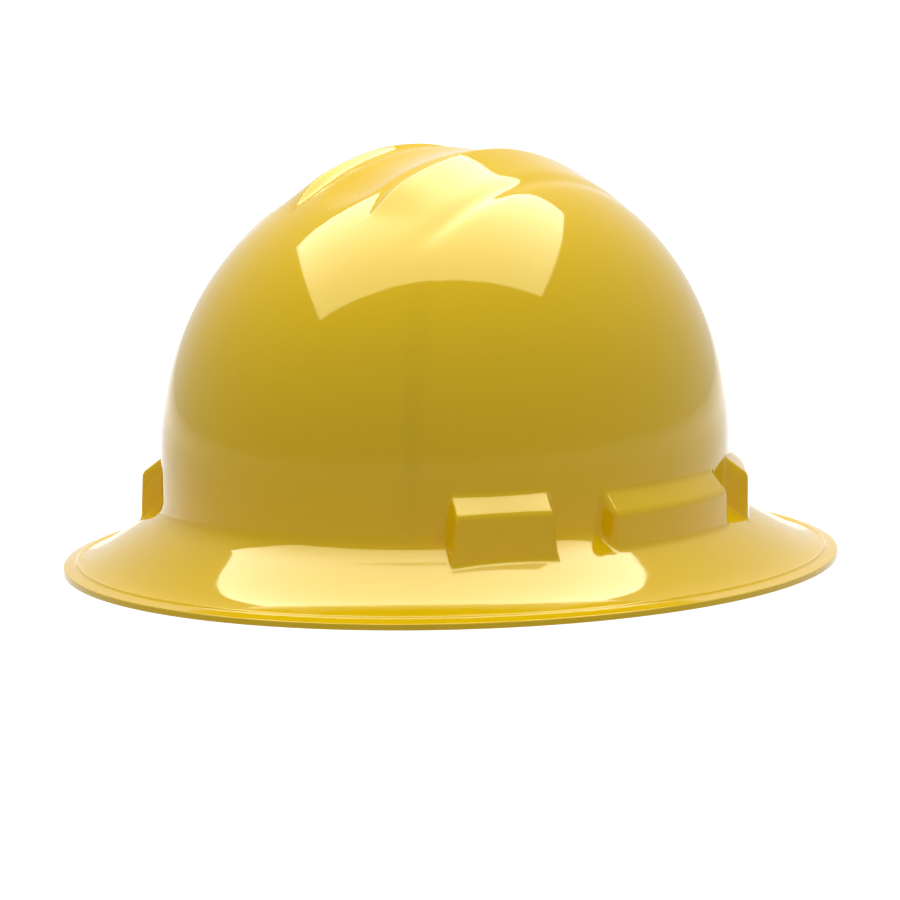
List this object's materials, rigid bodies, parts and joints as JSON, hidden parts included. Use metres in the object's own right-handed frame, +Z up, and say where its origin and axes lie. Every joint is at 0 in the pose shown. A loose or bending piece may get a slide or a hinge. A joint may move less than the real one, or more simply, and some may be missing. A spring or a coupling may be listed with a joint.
{
  "type": "full brim hard hat",
  "caption": "Full brim safety helmet with crown ridges, corner sockets, a webbing suspension on keys, and a ratchet headband adjusted by a knob at the nape.",
  "frame": {"origin": "middle of the brim edge, on the plane that the rim rests on", "axes": "+Z up through the crown; the wearer looks along -Y, so the rear of the hat is +Y; +X is the wearer's left. The hat is symmetric about the YZ plane but for the crossed straps and the two toothed nape straps."},
  "size_m": [0.2748, 0.316, 0.1591],
  "materials": {
    "shell_plastic": "glossy moulded yellow",
    "key_plastic": "satin moulded dark grey",
    "webbing": "woven grey webbing",
    "band_plastic": "satin moulded dark grey",
    "pad_cloth": "brushed dark cloth over foam",
    "rivet_plastic": "satin",
    "housing_plastic": "fine moulded grain",
    "knob_plastic": "fine moulded grain",
    "spring_plastic": "natural acetal",
    "screw_steel": "turned"
  },
  "bodies": {
    "shell_assembly": {"shell": "shell_plastic", "front_left_key": "key_plastic", "front_right_key": "key_plastic", "rear_left_key": "key_plastic", "rear_right_key": "key_plastic", "left_crown_strap": "webbing", "right_crown_strap": "webbing"},
    "headband_assembly": {"headband": "band_plastic", "brow_pad": "pad_cloth"},
    "swing_rivets": {"left_swing_rivet": "rivet_plastic", "right_swing_rivet": "rivet_plastic"},
    "ratchet_housing": {"ratchet_base": "housing_plastic", "ratchet_cover": "housing_plastic", "detent_spring": "spring_plastic", "nape_pad": "pad_cloth"},
    "left_strap": {"left_nape_strap": "band_plastic"},
    "right_strap": {"right_nape_strap": "band_plastic"},
    "knob_assembly": {"ratchet_knob": "knob_plastic", "drive_pinion": "spring_plastic", "knob_screw": "screw_steel"}
  },
  "joints": [
    {"name": "headband_height", "type": "slide", "parent": "shell_assembly", "child": "headband_assembly", "axis": [0, 0, 1], "range_m": [-0.006, 0.006]},
    {"name": "nape_swing", "type": "hinge", "parent": "headband_assembly", "child": "swing_rivets", "pos_m": [0, 0.0038, 0.024], "axis": [1, 0, 0], "range_deg": [-25, 0]},
    {"name": "size_adjust", "type": "slide", "parent": "swing_rivets", "child": "ratchet_housing", "axis": [0, 1, 0], "range_m": [-0.01, 0.01]},
    {"name": "left_strap_turn", "type": "hinge", "parent": "ratchet_housing", "child": "left_strap", "pos_m": [0, 0.00495, 0.024], "axis": [0, 0, 1], "range_deg": [-7.45, 7.45]},
    {"name": "right_strap_turn", "type": "hinge", "parent": "ratchet_housing", "child": "right_strap", "pos_m": [0, 0.00265, 0.024], "axis": [0, 0, 1], "range_deg": [-7.45, 7.45]},
    {"name": "knob_turn", "type": "hinge", "parent": "ratchet_housing", "child": "knob_assembly", "pos_m": [0, 0.08185, 0.024], "axis": [0, 1, 0], "range_deg": [-92, 92]}
  ],
  "couplings": [
    {"joint": "left_strap_turn", "follows": "size_adjust", "rad_per_m": -12.812},
    {"joint": "right_strap_turn", "follows": "size_adjust", "rad_per_m": 12.812},
    {"joint": "knob_turn", "follows": "size_adjust", "rad_per_m": 160}
  ]
}
